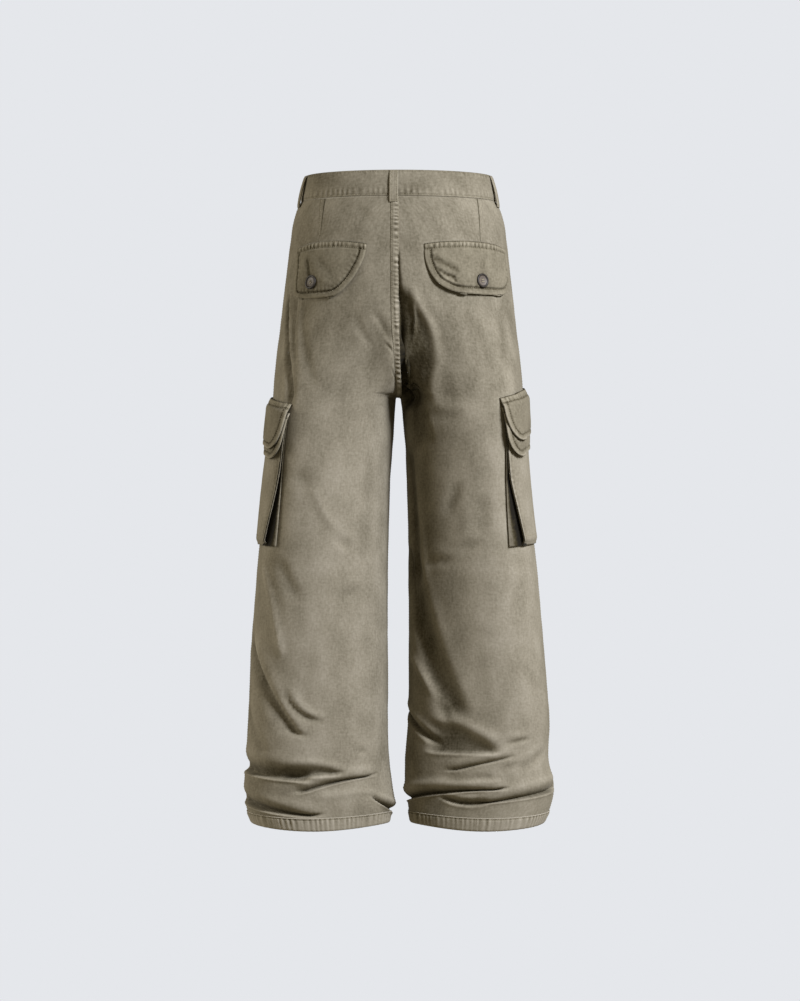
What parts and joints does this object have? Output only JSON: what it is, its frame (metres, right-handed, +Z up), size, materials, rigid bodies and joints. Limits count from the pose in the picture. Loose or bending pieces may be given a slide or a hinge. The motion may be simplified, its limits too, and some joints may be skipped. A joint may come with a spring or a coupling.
{
  "type": "cargo pants",
  "caption": "Wide straight-leg cotton twill cargo pants, filled out as worn, with flapped back pockets, bellows cargo pockets, belt loops and folds stacked above the hems.",
  "frame": {"origin": "middle of the waistband, half way up it, where a waist holds the pants", "axes": "+Z up along the body, -Y out of the seat (back), +Y out of the fly (front), +X to the wearer's right"},
  "size_m": [0.4818, 0.2512, 1.0129],
  "materials": {
    "olive_twill": "washed cotton twill",
    "flap_twill": "washed cotton twill, two plies with puckered stitching",
    "band_twill": "washed cotton twill, interlined and topstitched",
    "brown_button": "satin horn-look plastic"
  },
  "bodies": {
    "root": {"back_left": "olive_twill", "back_right": "olive_twill", "front_left": "olive_twill", "front_right": "olive_twill", "waistband": "band_twill", "fly_placket": "olive_twill", "belt_loop_centre_back": "band_twill", "belt_loop_side_left": "band_twill", "belt_loop_side_right": "band_twill", "belt_loop_front_left": "band_twill", "belt_loop_front_right": "band_twill", "back_flap_left": "flap_twill", "back_flap_right": "flap_twill", "cargo_pocket_left": "olive_twill", "cargo_pocket_right": "olive_twill", "cargo_flap_lower_left": "flap_twill", "cargo_flap_lower_right": "flap_twill", "cargo_flap_upper_left": "flap_twill", "cargo_flap_upper_right": "flap_twill", "back_button_left": "brown_button", "back_button_right": "brown_button", "waist_button": "brown_button"}
  },
  "joints": []
}
